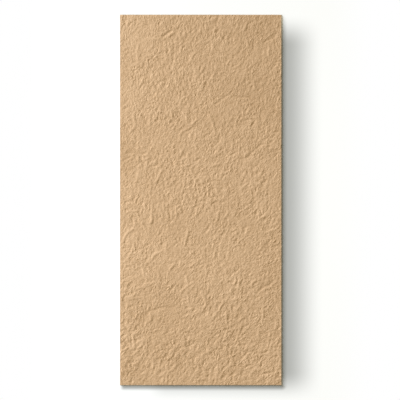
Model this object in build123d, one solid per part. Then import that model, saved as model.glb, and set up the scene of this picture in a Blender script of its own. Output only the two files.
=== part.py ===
from build123d import *
import os

# Flexible ceramic wall panel: one thin sheet of pressed clay, trimmed square.
# It lies on its flat back, with the middle of the back at the origin.
# X runs across the panel, Y along it, and the wrinkled face looks up along Z.

# Driving dimensions, in millimetres
panel_width = 1220.0
panel_length = 2800.0
body_thickness = 2.4  # from the back to the deepest hollow of the face
relief_depth = 2.6  # from the deepest hollow to the highest crest
edge_rollover = 0.5  # radius that the trimming knife leaves along the face's edges

overall_thickness = body_thickness + relief_depth


def wall_panel():
    """The trimmed sheet, up to the level of the highest crest of its face."""
    outline = Rectangle(panel_width, panel_length)
    sheet = extrude(outline, amount=overall_thickness)
    face_edges = sheet.faces().sort_by(Axis.Z)[-1].edges()
    return fillet(face_edges, radius=edge_rollover)


os.makedirs("parts", exist_ok=True)
export_step(wall_panel(), "parts/wall_panel.step")
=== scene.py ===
import bpy
import math
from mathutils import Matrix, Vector


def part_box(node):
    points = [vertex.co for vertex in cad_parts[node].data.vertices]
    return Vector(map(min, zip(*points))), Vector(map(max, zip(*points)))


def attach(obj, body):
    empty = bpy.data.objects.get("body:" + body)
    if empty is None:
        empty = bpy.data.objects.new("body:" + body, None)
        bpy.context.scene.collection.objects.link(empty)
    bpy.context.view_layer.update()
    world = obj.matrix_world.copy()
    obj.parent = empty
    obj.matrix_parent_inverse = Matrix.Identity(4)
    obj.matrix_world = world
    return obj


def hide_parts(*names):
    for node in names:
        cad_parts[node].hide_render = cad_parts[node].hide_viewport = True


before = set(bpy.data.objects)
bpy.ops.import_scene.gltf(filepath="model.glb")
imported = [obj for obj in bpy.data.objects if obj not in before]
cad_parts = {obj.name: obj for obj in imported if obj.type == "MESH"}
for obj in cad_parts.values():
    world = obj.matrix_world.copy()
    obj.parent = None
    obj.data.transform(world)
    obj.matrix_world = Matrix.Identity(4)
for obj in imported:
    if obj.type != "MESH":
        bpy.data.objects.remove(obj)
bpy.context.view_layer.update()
backCorner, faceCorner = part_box("wall_panel")  # the sheet lies on its back, the face looks up
panelSize = faceCorner - backCorner
print("Loaded the panel:", [round(side, 4) for side in panelSize], "m")

picture = {  # where the sheet lies in the photo, in pixels
    "side": 400.0,
    "panelAcross": 161.0,
    "panelAlong": 370.85,
    "middle": (200.7, 199.92),
}
acrossPixel = panelSize.x / picture["panelAcross"]
alongPixel = panelSize.y / picture["panelAlong"]
pixelSize = (acrossPixel + 2.0 * alongPixel) / 3.0  # metres; the long side tells it better


def onPanel(spot):  # from a pixel to a place on the sheet
    middleX, middleY = picture["middle"]
    return ((spot[0] - middleX) * pixelSize, (middleY - spot[1]) * pixelSize, 0.0)


class Wire:
    # one socket of a node tree; a sum of wires adds its Math nodes to that tree
    def __init__(self, tree, socket=None):
        self.tree = tree
        self.socket = socket

    # any node: its settings go in first, then a value or a wire for each socket
    def node(self, kind, settings=None, sockets=None, out=0):
        made = self.tree.nodes.new(kind)
        for name, value in (settings or {}).items():
            setattr(made, name, value)
        for name, value in (sockets or {}).items():
            for part in value if isinstance(value, list) else [value]:  # a list of wires joins in one socket
                if isinstance(part, Wire):
                    self.tree.links.new(part.socket, made.inputs[name])
                else:
                    made.inputs[name].default_value = part
        return Wire(self.tree, made.outputs[out] if made.outputs else None)

    def out(self, name):  # another output of the same node
        return Wire(self.tree, self.socket.node.outputs[name])

    def math(self, operation, *values):
        return self.node("ShaderNodeMath", {"operation": operation}, dict(enumerate(values)))

    def vector(self, operation, *values, out=0):
        return self.node("ShaderNodeVectorMath", {"operation": operation}, dict(enumerate(values)), out)

    def xyz(self, x=0.0, y=0.0, z=0.0):
        return self.node("ShaderNodeCombineXYZ", {}, {"X": x, "Y": y, "Z": z})

    def axis(self, name):  # one part of a vector
        return self.node("ShaderNodeSeparateXYZ", {}, {0: self}, name)

    def blend(self, share, first, second):  # colours: share 0 gives the first
        return self.node("ShaderNodeMix", {"data_type": "RGBA"}, {0: share, 6: first, 7: second}, 2)

    def mark(self, name, value, domain="POINT"):  # keeps a number on each point or face of a shape
        return self.node("GeometryNodeStoreNamedAttribute", {"data_type": "FLOAT", "domain": domain},
                         {"Geometry": self, "Name": name, "Value": value})

    def marked(self, name):  # and gives it back
        return self.node("GeometryNodeInputNamedAttribute", {"data_type": "FLOAT"}, {"Name": name})

    def ease(self, low, high, start=0.0, end=1.0):  # soft step from start to end
        return self.node("ShaderNodeMapRange", {"interpolation_type": "SMOOTHSTEP"},
                         {0: self, 1: low, 2: high, 3: start, 4: end})

    def __add__(self, other):
        return self.math("ADD", self, other)

    def __sub__(self, other):
        return self.math("SUBTRACT", self, other)

    def __rsub__(self, other):
        return self.math("SUBTRACT", other, self)

    def __mul__(self, other):
        return self.math("MULTIPLY", self, other)

    def __truediv__(self, other):
        return self.math("DIVIDE", self, other)

    def __rtruediv__(self, other):
        return self.math("DIVIDE", other, self)

    def __pow__(self, other):
        return self.math("POWER", self, other)

    def __gt__(self, other):
        return self.math("GREATER_THAN", self, other)

    def __lt__(self, other):
        return self.math("LESS_THAN", self, other)

    def __abs__(self):
        return self.math("ABSOLUTE", self)

    __radd__ = __add__
    __rmul__ = __mul__


wideSpread = (0.3, 0.7)  # nearly all of a noise lies between these
midSpread = (0.35, 0.65)  # and most of it between these


# Noise in lumps of a given size; the seed picks one of its endless sheets
def lumps(place, size, seed, detail=1.0, rough=0.5, out=0):
    return place.node("ShaderNodeTexNoise", {"noise_dimensions": "4D"}, {
        "Vector": place, "W": seed, "Scale": 1.0 / size, "Detail": detail, "Roughness": rough}, out)


# Pushes places about, so that what is drawn over them bends
def wander(place, size, reach, seed, detail=1.0):
    push = lumps(place, size, seed, detail, out="Color")
    push = push.vector("SUBTRACT", push, (0.5, 0.5, 0.5))
    push = push.vector("MULTIPLY", push, push.xyz(reach, reach))
    return push.vector("ADD", place, push)


# Crests and hollows with a crease along the top, as crumpled paper has
def crinkles(place, size, seed, rough=0.5):
    crest = abs(lumps(place, size, seed, rough=rough) - 0.5)
    hollow = abs(lumps(place, size, seed + 10.0, rough=rough) - 0.5)
    return hollow - crest


sheet = {  # lengths in metres
    "Cells across": 203,  # about 6 mm each, which keeps the sheet under 200,000 triangles
    "Cells along": 466,
    "Body": 0.0024,  # clay below the deepest hollow
    "Rim roll": 0.0005,  # the trimming knife's rollover
    "Rim calm": 0.014,  # the knife presses the relief flatter this close to an edge
    "Rim share": 0.3,  # and leaves this share of it at the edge
    "Back points across": 13,  # the flat back needs few faces
    "Back points along": 28,
    "Back margin": 0.1,  # width of the ring that joins the back to the fine edge, both sides together
    "Weld": 0.00002,
    "Face upright": 0.8,  # a facet whose normal points up more than this is face
    "Back upright": -0.5,  # and one below this is back
    "Sharp bend": math.radians(38),  # a sharper edge isn't shaded smooth
    "Swell size": 0.3,
    "Swell height": 0.0026,
    "Crinkle size": 0.06,
    "Crinkle height": 0.002744,
    "Small crinkle size": 0.0282,
    "Small crinkle height": 0.00343,
    "Pit size": 0.0162,
    "Pit height": 0.002058,
    "Crinkle stretch": 1.3,  # they run along the sheet more than across it
    "Bend size": 0.05,  # their lines wander
    "Bend": 0.02,
    "Patch size": 0.22,  # calm and rough patches
    "Calmest": 0.45,
    "Roughest": 1.55,
    "Rougher from": -0.2,  # the bottom quarter is rougher: shares of the length, from the middle
    "Rougher to": -0.36,
    "Roughening": 0.24,
    "Coarsening": 0.5,
    "Wrinkles": 3200,  # of each kind, raised and sunk
    "Shortest wrinkle": 0.025,
    "Longest wrinkle": 0.085,
    "Wrinkle reach": 0.0082,  # from a wrinkle's line to its foot
    "Wrinkle height": 0.00134,
    "Crease step": 0.004,  # between the points of a wrinkle or a main crease
    "Crease reach": 0.0105,
    "Crease height": 0.0026,
    "Crease sway size": 0.035,
    "Crease sway": 0.026,
    "Crease fade size": 0.05,  # a main crease grows and dies along its way
    "Faintest crease": 0.5,
    "Strongest crease": 1.4,
    "Crease calm": 0.02,  # a main crease smooths the wrinkles this close to it
    "Crease calm share": 0.6,
    "Seed": 7,
}
sheetSockets = {int: "NodeSocketInt", float: "NodeSocketFloat"}

# The creases that stand out, read from the photo in its pixels: a share of the crease height
# (below zero for a groove), then the routes of all creases of that share
mainCreases = [
    (1.5, [
        [(167, 37), (170, 35), (175, 33)], [(268, 45), (269, 51), (268, 57)], [(213, 43), (212, 52)],
        [(136, 111), (134, 115), (135, 123), (134, 128), (129, 133)], [(209, 114), (213, 123), (215, 136)],
        [(156, 183), (158, 178), (160, 173), (163, 169)], [(215, 154), (219, 149), (221, 145)],
        [(259, 177), (261, 173), (263, 168)], [(256, 198), (257, 193), (260, 191)],
        [(123, 240), (128, 233), (134, 228)], [(152, 205), (152, 213), (151, 221), (150, 224)],
        [(223, 219), (226, 216), (229, 211)], [(142, 286), (149, 284), (156, 281)],
        [(126, 298), (133, 296), (136, 293)], [(170, 271), (174, 264)], [(149, 313), (151, 317), (151, 321)],
        [(200, 291), (205, 299), (205, 306), (201, 313)], [(226, 311), (227, 324)],
        [(167, 383), (168, 374), (172, 369), (178, 364)], [(226, 369), (230, 366), (235, 362)],
    ]),
    (1.0, [
        [(150, 39), (155, 39), (160, 40)], [(145, 57), (149, 56), (153, 55)],
        [(138, 45), (137, 52), (138, 61)], [(195, 52), (192, 57), (189, 63)],
        [(245, 37), (247, 42), (248, 47)], [(248, 21), (246, 26), (244, 31)],
        [(171, 108), (172, 119)], [(180, 108), (181, 100), (187, 97), (188, 106)],
        [(196, 113), (196, 121), (191, 125)], [(186, 111), (187, 124)], [(150, 112), (150, 126)],
        [(246, 114), (249, 109), (251, 107)], [(266, 94), (266, 104)], [(254, 80), (255, 90)],
        [(147, 161), (147, 168)], [(135, 187), (137, 179), (139, 170)], [(227, 163), (229, 159), (231, 155)],
        [(209, 167), (216, 165), (223, 162)], [(216, 184), (218, 193)], [(240, 190), (246, 185)],
        [(224, 137), (224, 146)], [(233, 142), (233, 150)], [(144, 203), (146, 209)],
        [(164, 204), (164, 211)], [(166, 251), (166, 243)],
        [(151, 260), (156, 254), (164, 250)], [(128, 259), (131, 253)],
        [(184, 246), (186, 239), (189, 229)], [(124, 214), (130, 211), (138, 211)],
        [(217, 221), (218, 214), (220, 210)], [(233, 217), (235, 211)], [(256, 222), (260, 219), (268, 212)],
        [(262, 234), (268, 232), (276, 229), (280, 226)], [(214, 258), (215, 252)],
        [(138, 289), (144, 287), (150, 286)], [(155, 281), (157, 285), (160, 289)],
        [(127, 300), (134, 298), (142, 298)], [(143, 268), (144, 278)], [(158, 270), (159, 279)],
        [(168, 271), (168, 278)], [(179, 295), (186, 287), (194, 282)], [(186, 276), (189, 285)],
        [(188, 296), (189, 303)], [(122, 313), (126, 311)], [(180, 261), (180, 268)],
        [(251, 286), (257, 279)],
        [(238, 294), (239, 284), (240, 272)], [(236, 275), (236, 281), (233, 285)],
        [(207, 320), (213, 317), (217, 312), (221, 307), (226, 300), (229, 296)],
        [(228, 302), (233, 300), (238, 298)], [(236, 312), (238, 308), (241, 305)],
        [(263, 305), (263, 312), (263, 320)], [(213, 275), (216, 281)], [(223, 304), (225, 299)],
        [(134, 342), (134, 351)], [(136, 349), (141, 346), (144, 341)], [(125, 357), (128, 355)],
        [(152, 369), (154, 360)], [(138, 357), (138, 364)], [(141, 375), (149, 372)],
        [(169, 352), (175, 349)], [(184, 346), (185, 341)], [(179, 329), (179, 335)],
        [(128, 382), (131, 378)], [(124, 338), (127, 336)],
        [(259, 328), (259, 340)], [(250, 349), (253, 344)], [(246, 351), (247, 345)],
        [(252, 374), (255, 370), (258, 366)], [(256, 382), (260, 379)], [(206, 352), (211, 351)],
        [(201, 355), (206, 352)], [(268, 343), (269, 337), (270, 332)], [(216, 384), (217, 376), (218, 366)],
        [(250, 373), (251, 379)],
    ]),
    (-1.5, [
        [(162, 37), (166, 34), (173, 30)], [(215, 105), (221, 100), (229, 95)],
        [(239, 160), (243, 158), (249, 156), (254, 150)], [(228, 320), (231, 317)],
        [(256, 294), (259, 290), (263, 287), (268, 286), (276, 279)],
        [(147, 312), (155, 310), (164, 307), (170, 308), (178, 305)], [(222, 379), (224, 376), (228, 374)],
    ]),
    (-1.0, [
        [(145, 26), (149, 25), (152, 24)], [(172, 64), (174, 57), (174, 46)],
        [(263, 43), (268, 40), (275, 36)], [(253, 52), (254, 42)],
        [(181, 136), (186, 132), (195, 126)], [(231, 97), (241, 97), (252, 98)],
        [(257, 91), (262, 87), (267, 83), (269, 77)], [(243, 121), (249, 120), (256, 120)],
        [(252, 126), (254, 122), (256, 120)], [(273, 133), (276, 132), (280, 131)],
        [(125, 154), (131, 153), (137, 153), (143, 154), (148, 151)], [(123, 161), (127, 159), (131, 157)],
        [(149, 168), (154, 166), (159, 164)], [(193, 162), (197, 160), (201, 158)],
        [(254, 150), (258, 147), (264, 143)], [(231, 155), (238, 151)], [(125, 246), (126, 240)],
        [(193, 208), (196, 207), (200, 204)], [(159, 236), (161, 233), (163, 229)],
        [(204, 234), (207, 230), (211, 225)], [(243, 229), (247, 227), (255, 225)], [(221, 236), (225, 233)],
        [(184, 309), (187, 308), (190, 306)], [(182, 315), (185, 314), (188, 312)], [(146, 315), (150, 313)],
        [(147, 356), (150, 353)], [(179, 349), (182, 347)], [(190, 336), (195, 336)],
        [(229, 377), (232, 375), (236, 373)], [(241, 330), (245, 327), (248, 325)],
        [(261, 354), (265, 352), (268, 350)], [(236, 361), (240, 359), (244, 356)],
        [(244, 367), (250, 366), (254, 365)], [(262, 374), (269, 373), (275, 370)], [(232, 346), (235, 343)],
        [(237, 340), (241, 338)], [(226, 357), (230, 354)],
    ]),
]


# The main creases as loose edges, each point with its strength
def sketchCreases():
    points, edges, strengths = [], [], []
    for share, routes in mainCreases:
        for route in routes:
            edges += [(len(points) + step, len(points) + step + 1) for step in range(len(route) - 1)]
            points += [onPanel(spot) for spot in route]
            strengths += [share] * len(route)
    sketch = bpy.data.meshes.new("main_creases")
    sketch.from_pydata(points, edges, [])
    sketch.attributes.new("strength", "FLOAT", "POINT").data.foreach_set("value", strengths)
    return sketch


# Curves to rows of points, whose strength dies away at both ends
def creasePoints(lines, step):
    lines = lines.node("GeometryNodeResampleCurve", {"mode": "LENGTH"}, {"Curve": lines, "Length": step})
    along = lines.node("GeometryNodeSplineParameter")
    arch = (along * (1.0 - along) * 4.0) ** 0.5  # 1 halfway along
    lines = lines.mark("strength", lines.marked("strength") * arch)
    return lines.node("GeometryNodeCurveToPoints", {"mode": "EVALUATED"}, {"Curve": lines})


strewn = {  # how the short wrinkles lie
    "across": 0.52,  # half the strewn field, as shares of the sheet; some wrinkles start past its edges
    "along": 0.51,
    "faintest": 0.4,
    "fading": 1.5,  # above 1, more of them are faint
    "shortness": 2.0,  # above 1, more of them are short
    "points": 16,
    "lean": 67.0,  # degrees from across the sheet, at its middle
    "turn": 45.0,  # degrees more at the top than at the bottom
    "eddySize": 0.3,  # neighbours lie side by side, in eddies
    "eddy": 6.0,  # radians
    "scatter": 0.75,  # radians
    "swaySize": 0.12,
    "sway": 0.05,
}


# Wrinkles strewn over the sheet: upright at its top, leaning at its bottom
def strewWrinkles(size, seed):
    bench = size["Panel width"]

    def chance(low, high, shift):
        return bench.node("FunctionNodeRandomValue", {"data_type": "FLOAT"},
                          {2: low, 3: high, "Seed": seed + shift}, 1)

    place = bench.node("GeometryNodeInputPosition")
    acrossShare = chance(-strewn["across"], strewn["across"], 0)
    alongShare = chance(-strewn["along"], strewn["along"], 1)
    spot = bench.xyz(acrossShare * size["Panel width"], alongShare * size["Panel length"])
    spots = bench.node("GeometryNodePoints", {}, {"Count": size["Wrinkles"], "Position": spot})
    spots = spots.mark("strength", chance(strewn["faintest"], 1.0, 2) ** strewn["fading"])
    line = bench.node("GeometryNodeCurvePrimitiveLine", {}, {"Start": (-0.5, 0, 0), "End": (0.5, 0, 0)})
    line = bench.node("GeometryNodeResampleCurve", {}, {"Curve": line, "Count": strewn["points"]})
    heading = place.axis("Y") / size["Panel length"] * math.radians(strewn["turn"])
    heading = heading + math.radians(strewn["lean"])
    heading = heading + (lumps(place, strewn["eddySize"], seed + 3.0) - 0.5) * strewn["eddy"]
    heading = heading + chance(-strewn["scatter"], strewn["scatter"], 3)
    stretch = chance(0.0, 1.0, 4) ** strewn["shortness"]
    stretch = stretch * (size["Longest wrinkle"] - size["Shortest wrinkle"]) + size["Shortest wrinkle"]
    lines = bench.node("GeometryNodeInstanceOnPoints", {}, {
        "Points": spots, "Instance": line,
        "Rotation": bench.xyz(z=heading), "Scale": bench.xyz(stretch, 1.0, 1.0)})
    lines = bench.node("GeometryNodeRealizeInstances", {}, {"Geometry": lines})
    swayed = wander(place, strewn["swaySize"], strewn["sway"], seed + 0.5)
    lines = bench.node("GeometryNodeSetPosition", {}, {"Geometry": lines, "Position": swayed})
    return creasePoints(lines, size["Crease step"])


# How far the nearest crease lifts each place, as a small tent along its line, and how far off it is
def creaseLift(place, creases, reach):
    near = place.node("GeometryNodeSampleNearest", {"domain": "POINT"},
                      {"Geometry": creases, "Sample Position": place})
    spot = place.node("GeometryNodeSampleIndex", {"data_type": "FLOAT_VECTOR", "domain": "POINT"}, {
        "Geometry": creases, "Value": place.node("GeometryNodeInputPosition"), "Index": near})
    strength = place.node("GeometryNodeSampleIndex", {"data_type": "FLOAT", "domain": "POINT"}, {
        "Geometry": creases, "Value": place.marked("strength"), "Index": near})
    away = place.vector("DISTANCE", place, spot, out="Value")
    tent = 1.0 - away / reach
    return tent.math("MAXIMUM", tent, 0.0) * strength, away


# Height of the face above or below its middle level, in metres, and how close a main crease is;
# each pattern takes its own step from the seed
def wrinkles(place, size, sketch):
    seed = size["Seed"]
    bent = wander(place, size["Bend size"], size["Bend"], seed + 20.0, detail=2.0)
    bent = bent.vector("DIVIDE", bent, bent.xyz(1.0, size["Crinkle stretch"], 1.0))
    low = (place.axis("Y") / size["Panel length"]).ease(size["Rougher to"], size["Rougher from"], 1.0, 0.0)
    coarser = low * size["Coarsening"] + 1.0
    total = crinkles(bent, size["Crinkle size"], seed) * size["Crinkle height"] * coarser
    total = crinkles(bent, size["Small crinkle size"], seed + 1.0) * size["Small crinkle height"] + total
    total = (lumps(bent, size["Pit size"], seed + 30.0) - 0.5) * size["Pit height"] + total
    for way, shift in ((1.0, 100), (-1.0, 200)):  # raised ones, then sunk ones
        lift, away = creaseLift(place, strewWrinkles(size, seed + shift), size["Wrinkle reach"])
        total = lift * size["Wrinkle height"] * way + total
    patch = lumps(place, size["Patch size"], seed + 40.0, detail=2.0)
    patch = patch.ease(*wideSpread, size["Calmest"], size["Roughest"]) * (low * size["Roughening"] + 1.0)

    # the main creases, which keep the wrinkles beside them low
    folds = place.node("GeometryNodeMeshToCurve", {}, {"Mesh": sketch})
    folds = place.node("GeometryNodeCurveSplineType", {"spline_type": "CATMULL_ROM"}, {"Curve": folds})
    folds = place.node("GeometryNodeResampleCurve", {"mode": "LENGTH"},
                       {"Curve": folds, "Length": size["Crease step"]})
    swayed = wander(place, size["Crease sway size"], size["Crease sway"], seed + 50.0)
    folds = place.node("GeometryNodeSetPosition", {}, {"Geometry": folds, "Position": swayed})
    lift, away = creaseLift(place, creasePoints(folds, size["Crease step"]), size["Crease reach"])
    strength = lumps(place, size["Crease fade size"], seed + 51.0)
    lift = lift * strength.ease(*midSpread, size["Faintest crease"], size["Strongest crease"])
    close = away.ease(0.0, size["Crease calm"], 1.0, 0.0)
    total = total * patch * (1.0 - close * size["Crease calm share"])
    total = lift * size["Crease height"] + total
    total = (lumps(place, size["Swell size"], seed + 60.0) - 0.5) * size["Swell height"] + total
    return total, close


def sheetTree(clay):
    tree = bpy.data.node_groups.new("Wrinkled sheet", "GeometryNodeTree")
    values = {"Panel width": panelSize.x, "Panel length": panelSize.y, "Thickness": panelSize.z, **sheet}
    tree.interface.new_socket("Main creases", in_out="INPUT", socket_type="NodeSocketGeometry")
    for name, value in values.items():
        tree.interface.new_socket(name, in_out="INPUT", socket_type=sheetSockets[type(value)])
    tree.interface.new_socket("Sheet", in_out="OUTPUT", socket_type="NodeSocketGeometry")
    bench = Wire(tree)
    inputs = bench.node("NodeGroupInput")
    size = {name: inputs.out(name) for name in values}
    width, length, roll = size["Panel width"], size["Panel length"], size["Rim roll"]
    place = bench.node("GeometryNodeInputPosition")
    sides = bench.node("GeometryNodeInputMeshEdgeNeighbors")
    rim = sides.math("COMPARE", sides, 1.0, 0.1)  # an edge with a facet on one side only

    # the face: a fine grid, lifted by the wrinkles but never past the highest crest
    face = bench.node("GeometryNodeMeshGrid", {}, {
        "Size X": width - roll * 2.0, "Size Y": length - roll * 2.0,
        "Vertices X": size["Cells across"] + 1, "Vertices Y": size["Cells along"] + 1})
    half = (size["Thickness"] - size["Body"]) / 2.0
    inset = bench.math("MINIMUM", width / 2.0 - abs(place.axis("X")), length / 2.0 - abs(place.axis("Y")))
    calm = inset.ease(0.0, size["Rim calm"], size["Rim share"], 1.0)
    lift, close = wrinkles(place, size, inputs.out("Main creases"))
    lift = lift * calm / half
    face = face.mark("fold", close)
    face = face.mark("relief", lift.math("TANH", lift))
    rise = bench.xyz(z=size["Body"] + half + face.marked("relief") * half)
    face = bench.node("GeometryNodeSetPosition", {}, {"Geometry": face, "Offset": rise})

    # the edges: a rolled rim, then the cut side down to the back
    rolled = bench.node("GeometryNodeExtrudeMesh", {"mode": "EDGES"},
                        {"Mesh": face, "Selection": rim, "Offset Scale": 0.0})
    spread = bench.xyz(width / (width - roll * 2.0), length / (length - roll * 2.0), 1.0)
    outer = place.vector("SUBTRACT", place.vector("MULTIPLY", place, spread), bench.xyz(z=roll))
    skin = bench.node("GeometryNodeSetPosition", {}, {
        "Geometry": rolled, "Selection": rolled.out("Top"), "Position": outer})
    cut = bench.node("GeometryNodeExtrudeMesh", {"mode": "EDGES"}, {
        "Mesh": skin, "Selection": rolled.out("Top"), "Offset Scale": 0.0})
    skin = bench.node("GeometryNodeSetPosition", {}, {
        "Geometry": cut, "Selection": cut.out("Top"), "Position": place.vector("MULTIPLY", place, (1, 1, 0))})

    # the back: a coarse grid, and a ring of triangles that joins it to the fine edge
    back = bench.node("GeometryNodeMeshGrid", {}, {
        "Size X": width - size["Back margin"], "Size Y": length - size["Back margin"],
        "Vertices X": size["Back points across"], "Vertices Y": size["Back points along"]})
    loops = [bench.node("GeometryNodeMeshToCurve", {}, {"Mesh": mesh, "Selection": chosen})
             for mesh, chosen in ((back, rim), (skin, cut.out("Top")))]
    loops = bench.node("GeometryNodeJoinGeometry", {}, {0: loops})
    ring = bench.node("GeometryNodeFillCurve", {}, {"Curve": loops})
    under = bench.node("GeometryNodeJoinGeometry", {}, {0: [back, ring]})
    under = bench.node("GeometryNodeFlipFaces", {}, {"Mesh": under})
    whole = bench.node("GeometryNodeJoinGeometry", {}, {0: [skin, under]})
    whole = bench.node("GeometryNodeMergeByDistance", {}, {"Geometry": whole, "Distance": size["Weld"]})

    # what each facet is, for the clay: 0 the face, 1 the cut edge, 2 the back
    upright = bench.node("GeometryNodeInputNormal").axis("Z")
    whole = whole.mark("skin", (upright < size["Face upright"]) + (upright < size["Back upright"]), "FACE")
    whole = bench.node("GeometryNodeSetShadeSmooth", {}, {"Geometry": whole, "Shade Smooth": True})
    bend = bench.node("GeometryNodeInputMeshEdgeAngle")
    whole = bench.node("GeometryNodeSetShadeSmooth", {"domain": "EDGE"}, {
        "Geometry": whole, "Selection": bend > size["Sharp bend"], "Shade Smooth": False})
    whole = bench.node("GeometryNodeRealizeInstances", {}, {"Geometry": whole})
    whole = bench.node("GeometryNodeSetMaterial", {}, {"Geometry": whole, "Material": clay})
    bench.node("NodeGroupOutput", {}, {"Sheet": whole})
    return tree, values


# Runs the tree on the sketch of creases and keeps the result as a plain mesh
def pressSheet(clay):
    tree, values = sheetTree(clay)
    panel = bpy.data.objects.new("wrinkled_sheet", sketchCreases())
    bpy.context.scene.collection.objects.link(panel)
    nodes = panel.modifiers.new("Wrinkled sheet", "NODES")
    nodes.node_group = tree
    for socket in tree.interface.items_tree:
        if socket.in_out == "INPUT" and socket.name in values:
            nodes[socket.identifier] = values[socket.name]
    ready = panel.evaluated_get(bpy.context.evaluated_depsgraph_get())
    pressed = bpy.data.meshes.new_from_object(ready)
    panel.modifiers.remove(nodes)
    panel.data = pressed
    pressed.name = "wrinkled_sheet"
    pressed.calc_loop_triangles()
    print("Pressed the sheet:", len(pressed.loop_triangles), "triangles")
    return panel


clayFinish = {  # sizes and heights in metres
    "darkTone": (0.517, 0.334, 0.177, 1.0),  # darker clay, and the painted shade of the hollows
    "paleTone": (0.733, 0.502, 0.297, 1.0),  # paler clay, and the crests that the painted shade leaves paler
    "cutTones": ((0.22, 0.132, 0.064, 1.0), (0.38, 0.240, 0.122, 1.0)),  # torn hollows, darker as painted shade, and sheared grit
    "backTone": (0.50, 0.335, 0.195, 1.0),
    "gritTone": (0.30, 0.17, 0.075, 1.0),
    "quartzTone": (0.80, 0.63, 0.45, 1.0),
    "cutShare": 0.9,
    "backShare": 0.7,
    # painted shade: darker in the hollows and paler on the crests, from the mesh relief, the fine wrinkles
    # and their valleys
    "reliefPaintedShade": 0.12,  # shares of the way from the dark tone to the pale one
    "finePaintedShade": 0.4,
    "valleyPaintedShade": 1.5,
    "grainTone": 0.3,
    "blotchLightAndShade": 0.15,
    "blotchBendSize": 0.2,
    "blotchBend": 0.1,
    "blotchSeed": 33.0,
    "mottles": ((0.5, 0.30), (0.13, 0.30), (0.04, 0.30), (0.012, 0.35)),  # sizes in metres, shares
    "mottleSeed": 40.0,
    "roughness": (0.82, 0.94),
    "roughSize": 0.03,
    "roughSeed": 90.0,
    "shine": 0.05,
    "fineSize": 0.0155,  # wrinkles too fine for the mesh
    "fineHeight": 0.00248,
    "fineRough": 0.6,
    "fineStretch": 2.2,
    "fineBendSize": 0.09,
    "fineBend": 0.025,
    "fineBendSeed": 61.0,
    "fineWays": (  # degrees, and how much more of it lies at the top
        (30.0, -0.15), (55.0, -0.1), (80.0, 0.12), (105.0, 0.12), (150.0, -0.1),
    ),
    "fineSeedStep": 3.1,
    "finePatch": 0.14,
    "finePatchEdge": (0.38, 0.68),
    "finePatchSeed": 70.0,
    "foldCalm": 0.6,  # share of the fine wrinkles that a main crease takes away
    "lumpSize": 0.005,
    "lumpHeight": 0.0007,
    "lumpSeed": 5.0,
    "grainSize": 0.0016,
    "grainHeight": 0.00012,
    "quartzFrom": (0.93, 0.95),  # the grains with the highest chance are quartz
    "gritFrom": (0.07, 0.05),  # and those with the lowest are dark grit
    "speckShare": 0.5,
    "weavePitch": 0.004,  # cloth of the press belt, printed in the back
    "weaveHeight": 0.0003,
    "cutSize": 0.0016,  # torn grit on the cut edge
    "cutHeight": 0.0005,
    "cutSeed": 8.0,
}

# Paler and darker blotches of painted light and shade, read from the photo: a place and a reach in its
# pixels, then a strength
lightAndShadeBlotches = [
    ((127, 33), 46, 1.2), ((137, 95), 34, 0.7), ((259, 33), 44, -1.0), ((257, 93), 46, -0.9),
    ((222, 125), 26, -0.8), ((120, 155), 34, -1.6), ((244, 180), 16, 0.7), ((266, 210), 22, 0.6),
    ((173, 222), 18, -0.5), ((221, 218), 18, -0.7), ((146, 256), 30, 0.5), ((184, 268), 30, 0.5),
    ((226, 276), 46, 0.55), ((246, 290), 18, 0.7), ((136, 316), 34, -1.0), ((168, 336), 30, -0.8),
    ((206, 335), 18, -0.9), ((234, 325), 20, -0.8), ((127, 368), 32, -1.3), ((176, 361), 26, -0.4),
    ((231, 369), 20, -0.6), ((272, 330), 46, 0.5), ((264, 372), 34, 0.5), ((211, 370), 18, 0.5),
]


# Fine wrinkles, each way in its own patches
def fineWrinkles(place):
    bent = wander(place, clayFinish["fineBendSize"], clayFinish["fineBend"],
                  clayFinish["fineBendSeed"], detail=2.0)
    stretch = (clayFinish["fineStretch"], 1.0, 1.0)
    total = 0.0
    for step, (way, upper) in enumerate(clayFinish["fineWays"]):
        here = lumps(place, clayFinish["finePatch"], clayFinish["finePatchSeed"] + step)
        here = (here + place.axis("Y") * (upper / panelSize.y)).ease(*clayFinish["finePatchEdge"])
        run = place.node("ShaderNodeMapping", {"vector_type": "TEXTURE"}, {
            "Vector": bent, "Rotation": (0.0, 0.0, math.radians(way)), "Scale": stretch})
        seed = step * clayFinish["fineSeedStep"]
        total = crinkles(run, clayFinish["fineSize"], seed, rough=clayFinish["fineRough"]) * here + total
    return total


# Sand grains: each cell of the clay with its own chance from 0 to 1
def grains(place, size):
    return place.node("ShaderNodeTexVoronoi", {}, {"Vector": place, "Scale": 1.0 / size}, "Color").axis("X")


# Slow changes of tone, about zero: random mottles from the pressing and drying, and blotches of painted light
# and shade
def mottling(place):
    total = 0.0
    bent = wander(place, clayFinish["blotchBendSize"], clayFinish["blotchBend"], clayFinish["blotchSeed"])
    # painted light and shade, blotch by blotch
    for spot, reach, strength in lightAndShadeBlotches:
        away = bent.vector("DISTANCE", bent, onPanel(spot), out="Value")
        total = away.ease(0.0, reach * pixelSize, strength * clayFinish["blotchLightAndShade"], 0.0) + total
    for step, (size, share) in enumerate(clayFinish["mottles"]):
        mottle = lumps(place, size, clayFinish["mottleSeed"] + step, detail=2.0)
        total = (mottle - 0.5) * share + total
    return total


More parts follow.
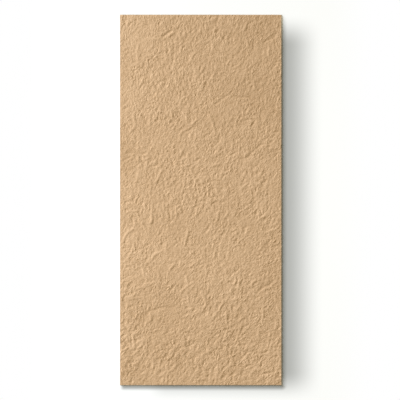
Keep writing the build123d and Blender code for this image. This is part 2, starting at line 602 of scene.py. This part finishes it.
def clayMaterial():
    material = bpy.data.materials.new("sandClay")
    material.use_nodes = True
    tree = material.node_tree
    tree.nodes.clear()
    bench = Wire(tree)
    place = bench.node("ShaderNodeTexCoord", {}, {}, "Object")
    skin, relief, fold = [bench.node("ShaderNodeAttribute", {"attribute_name": name}, {}, "Fac")
                          for name in ("skin", "relief", "fold")]
    face = skin < 0.5  # 0 is the face, 1 the cut edge, 2 the back
    back = skin > 1.5
    cut = 1.0 - face - back
    grain = grains(place, clayFinish["grainSize"])

    # the face: painted shade, paler on crests and darker in hollows, with sand grains in it
    fine = fineWrinkles(place) * face * (1.0 - fold * clayFinish["foldCalm"])
    pale = mottling(place) + relief * face * clayFinish["reliefPaintedShade"] + fine * clayFinish["finePaintedShade"] + 0.5
    # painted shade: the fine valleys darker still
    pale = bench.math("MINIMUM", fine, 0.0) * clayFinish["valleyPaintedShade"] + pale
    pale = (grain - 0.5) * clayFinish["grainTone"] + pale
    tone = bench.blend(pale, clayFinish["darkTone"], clayFinish["paleTone"])

    # the torn cut edge and the back, then specks, of which the cut edge shows few
    torn = lumps(place, clayFinish["cutSize"], clayFinish["cutSeed"], detail=2.0)
    # two-tone grit, darker where the torn bump is low: painted shade in its hollows
    cutTone = bench.blend(torn.ease(*midSpread), *clayFinish["cutTones"])
    tone = bench.blend(cut * clayFinish["cutShare"], tone, cutTone)
    tone = bench.blend(back * clayFinish["backShare"], tone, clayFinish["backTone"])
    specks = (1.0 - cut * clayFinish["cutShare"]) * clayFinish["speckShare"]
    tone = bench.blend(grain.ease(*clayFinish["quartzFrom"]) * specks, tone, clayFinish["quartzTone"])
    tone = bench.blend(grain.ease(*clayFinish["gritFrom"]) * specks, tone, clayFinish["gritTone"])

    # relief too fine for the mesh: wrinkles on the face, grit on the cut edge, the weave on the back
    height = fine * clayFinish["fineHeight"]
    lump = lumps(place, clayFinish["lumpSize"], clayFinish["lumpSeed"], detail=2.0)
    height = (lump - 0.5) * clayFinish["lumpHeight"] * face + height
    height = grain * clayFinish["grainHeight"] + height
    height = (torn - 0.5) * cut * clayFinish["cutHeight"] + height
    turns = 2.0 * math.pi / clayFinish["weavePitch"]
    weave = bench.math("SINE", place.axis("X") * turns) * bench.math("SINE", place.axis("Y") * turns)
    height = weave * back * clayFinish["weaveHeight"] + height
    bump = bench.node("ShaderNodeBump", {}, {"Height": height, "Distance": 1.0})

    rough = lumps(place, clayFinish["roughSize"], clayFinish["roughSeed"], detail=3.0)
    rough = rough.ease(*wideSpread, *clayFinish["roughness"])
    shader = bench.node("ShaderNodeBsdfPrincipled", {}, {
        "Base Color": tone, "Roughness": rough, "Specular IOR Level": clayFinish["shine"], "Normal": bump})
    bench.node("ShaderNodeOutputMaterial", {}, {"Surface": shader})
    print("Mixed the clay:", len(tree.nodes), "nodes")
    return material


clay = clayMaterial()
panel = pressSheet(clay)
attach(panel, "root")
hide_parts("wall_panel")


studio = {  # lengths in metres, angles in degrees
    "floorSpan": 60.0,
    "floorTone": (0.962, 0.974, 0.958, 1.0),
    "backdropTone": (1.0, 1.0, 1.0, 1.0),
    "backdropFade": (0.3, 0.7),  # away from the sheet, where the floor becomes backdrop
    "floorLift": (0.03, 0.14),  # the camera sees the floor this much paler, at the left and at the right
    "liftSpan": 3.0,
    "skyTone": (1.13, 1.0, 0.66),  # warm bounce from the room, which cooler lamps make up to white
    "skyLevel": 0.34,  # light on a flat face from the room, the key and the side lamp; together they make 1
    "keyLevel": 0.44,
    "keyAround": 37.0,  # from the left towards the top
    "keyAbove": 10.5,  # over the floor
    "keySoftness": 14.0,
    "sideLevel": 0.22,
    "sideAway": 4.2,
    "sideAbove": 17.0,
    "sideSize": 1.5,
    "shadeDepth": 0.57,  # painted soft shade on the floor, right of the sheet and below it
    "shadeRight": (0.015, 0.325),  # from full to none, past the right edge
    "shadeTop": (0.24, -0.01),  # below the top edge
    "shadeBottom": (-0.11, 0.135),  # past the bottom edge
    "shadeLeft": (0.36, 0.18),  # in from the left edge
    # floor colour under the deepest painted shade
    "shadeTone": (0.03, 0.036, 0.012, 1.0),
    "contactDepth": (0.285, 0.61),  # narrow painted shade close to the sheet, at its right and below it
    "contactShare": 0.7,  # share of the painted soft shade below that the narrow one takes the place of
    "contactFall": (0.014, 0.05),  # from full to none, away from the sheet
    "contactTop": (0.11, -0.012),
    "contactLeft": (0.03, -0.005),
    "contactBlur": 0.001,  # so that its turn round the corner is never 0 / 0
    "black": (0.0, 0.0, 0.0, 1.0),
    "white": (1.0, 1.0, 1.0, 1.0),
}


def viewRays(bench):  # 1 for what the camera, a mirror or a glass looks at
    path = bench.node("ShaderNodeLightPath")
    seen = path.math("MAXIMUM", path.out("Is Camera Ray"), path.out("Is Glossy Ray"))
    return path.math("MAXIMUM", seen, path.out("Is Transmission Ray"))


# Share of the floor's brightness that the painted soft shade leaves: a painted shadow, on top of the shadow
# the sheet really casts
def paintedFloorShade(place):
    right = place.axis("X") - faceCorner.x
    below = backCorner.y - place.axis("Y")
    inward = place.axis("X") - backCorner.x
    down = faceCorner.y - place.axis("Y")
    broad = right.ease(*studio["shadeRight"], 1.0, 0.0) * below.ease(*studio["shadeBottom"], 1.0, 0.0)
    broad = broad * down.ease(*reversed(studio["shadeTop"]))
    broad = broad * inward.ease(*reversed(studio["shadeLeft"]))

    # the narrow painted shade goes round the corner, from its depth at the right to its depth below
    right = right.math("MAXIMUM", right, 0.0)
    below = below.math("MAXIMUM", below, 0.0)
    away = (right * right + below * below) ** 0.5
    turned = below / (away + studio["contactBlur"])
    depthRight, depthBelow = studio["contactDepth"]
    close = away.ease(*studio["contactFall"], 1.0, 0.0) * down.ease(*reversed(studio["contactTop"]))
    close = close * inward.ease(*reversed(studio["contactLeft"]))
    close = close * (turned * (depthBelow - depthRight) + depthRight)
    broad = broad * (1.0 - close * turned * studio["contactShare"])
    return (1.0 - broad * studio["shadeDepth"]) * (1.0 - close)


def layFloor():
    half = studio["floorSpan"] / 2.0
    mesh = bpy.data.meshes.new("floor")
    corners = [(-half, -half, 0.0), (half, -half, 0.0), (half, half, 0.0), (-half, half, 0.0)]
    mesh.from_pydata(corners, [], [(0, 1, 2, 3)])
    floor = bpy.data.objects.new("floor", mesh)
    bpy.context.scene.collection.objects.link(floor)
    material = bpy.data.materials.new("paleFloor")
    material.use_nodes = True
    tree = material.node_tree
    tree.nodes.clear()
    bench = Wire(tree)
    place = bench.node("ShaderNodeTexCoord", {}, {}, "Object")
    share = paintedFloorShade(place)
    # the painted shade darkens the floor's colour and the glow the camera sees
    tone = bench.blend(share, studio["shadeTone"], studio["floorTone"])
    matt = bench.node("ShaderNodeBsdfDiffuse", {}, {"Color": tone})
    reach = studio["liftSpan"] / 2.0
    lift = place.axis("X").ease(-reach, reach, *studio["floorLift"])
    seen = viewRays(bench)
    glow = bench.blend(seen * share * lift, studio["black"], studio["white"])
    glow = bench.node("ShaderNodeEmission", {}, {"Color": glow, "Strength": 1.0})
    near = bench.node("ShaderNodeAddShader", {}, {0: matt, 1: glow})
    outside = place.vector("SUBTRACT", place.vector("ABSOLUTE", place), tuple(panelSize / 2.0))
    outside = place.vector("LENGTH", place.vector("MAXIMUM", outside, (0.0, 0.0, 0.0)), out="Value")
    far = bench.node("ShaderNodeEmission", {}, {"Color": studio["backdropTone"], "Strength": 1.0})
    fade = seen * outside.ease(*studio["backdropFade"])
    whole = bench.node("ShaderNodeMixShader", {}, {0: fade, 1: near, 2: far})
    bench.node("ShaderNodeOutputMaterial", {}, {"Surface": whole})
    mesh.materials.append(material)


def towardsLamp(around, above):  # degrees from the left towards the top, and over the floor
    around, above = math.radians(around), math.radians(above)
    return Vector((-math.cos(around) * math.cos(above), math.sin(around) * math.cos(above), math.sin(above)))


def hangLamp(name, kind, towards, away=0.0):
    lamp = bpy.data.lights.new(name, kind)
    hung = bpy.data.objects.new(name, lamp)
    hung.location = towards * away
    hung.rotation_euler = towards.to_track_quat("Z", "Y").to_euler()
    bpy.context.scene.collection.objects.link(hung)
    return lamp


def lightStudio():
    sky = studio["skyLevel"]
    lampTone = [(1.0 - tint * sky) / (1.0 - sky) for tint in studio["skyTone"]]
    towards = towardsLamp(studio["keyAround"], studio["keyAbove"])
    key = hangLamp("keyLight", "SUN", towards)
    key.energy = studio["keyLevel"] * math.pi / towards.z
    key.angle = math.radians(studio["keySoftness"])
    key.color = lampTone
    towards = towardsLamp(0.0, studio["sideAbove"])
    side = hangLamp("sideLight", "AREA", towards, studio["sideAway"])
    side.energy = studio["sideLevel"] * math.pi ** 2 * studio["sideAway"] ** 2 / towards.z
    side.size = studio["sideSize"]
    side.color = lampTone
    world = bpy.data.worlds.new("studio")
    world.use_nodes = True
    bpy.context.scene.world = world
    tree = world.node_tree
    tree.nodes.clear()
    bench = Wire(tree)
    room = bench.node("ShaderNodeBackground", {}, {"Color": (*studio["skyTone"], 1.0), "Strength": sky})
    backdrop = bench.node("ShaderNodeBackground", {}, {"Color": studio["backdropTone"], "Strength": 1.0})
    both = bench.node("ShaderNodeMixShader", {}, {0: viewRays(bench), 1: room, 2: backdrop})
    bench.node("ShaderNodeOutputWorld", {}, {"Surface": both})


view = {
    "lens": 85.0,
    "sensor": 36.0,
}


def placeCamera():
    lensData = bpy.data.cameras.new("camera")
    lensData.lens = view["lens"]
    lensData.sensor_width = view["sensor"]
    camera = bpy.data.objects.new("camera", lensData)
    bpy.context.scene.collection.objects.link(camera)
    span = pixelSize * picture["side"]
    camera.location = (0.0, 0.0, panelSize.z + span * view["lens"] / view["sensor"])
    half = picture["side"] / 2.0
    lensData.shift_x = (half - picture["middle"][0]) / picture["side"]
    lensData.shift_y = (picture["middle"][1] - half) / picture["side"]
    bpy.context.scene.camera = camera


layFloor()
lightStudio()
placeCamera()
bpy.context.scene.view_settings.view_transform = "Standard"
print("Lit the studio and placed the camera")
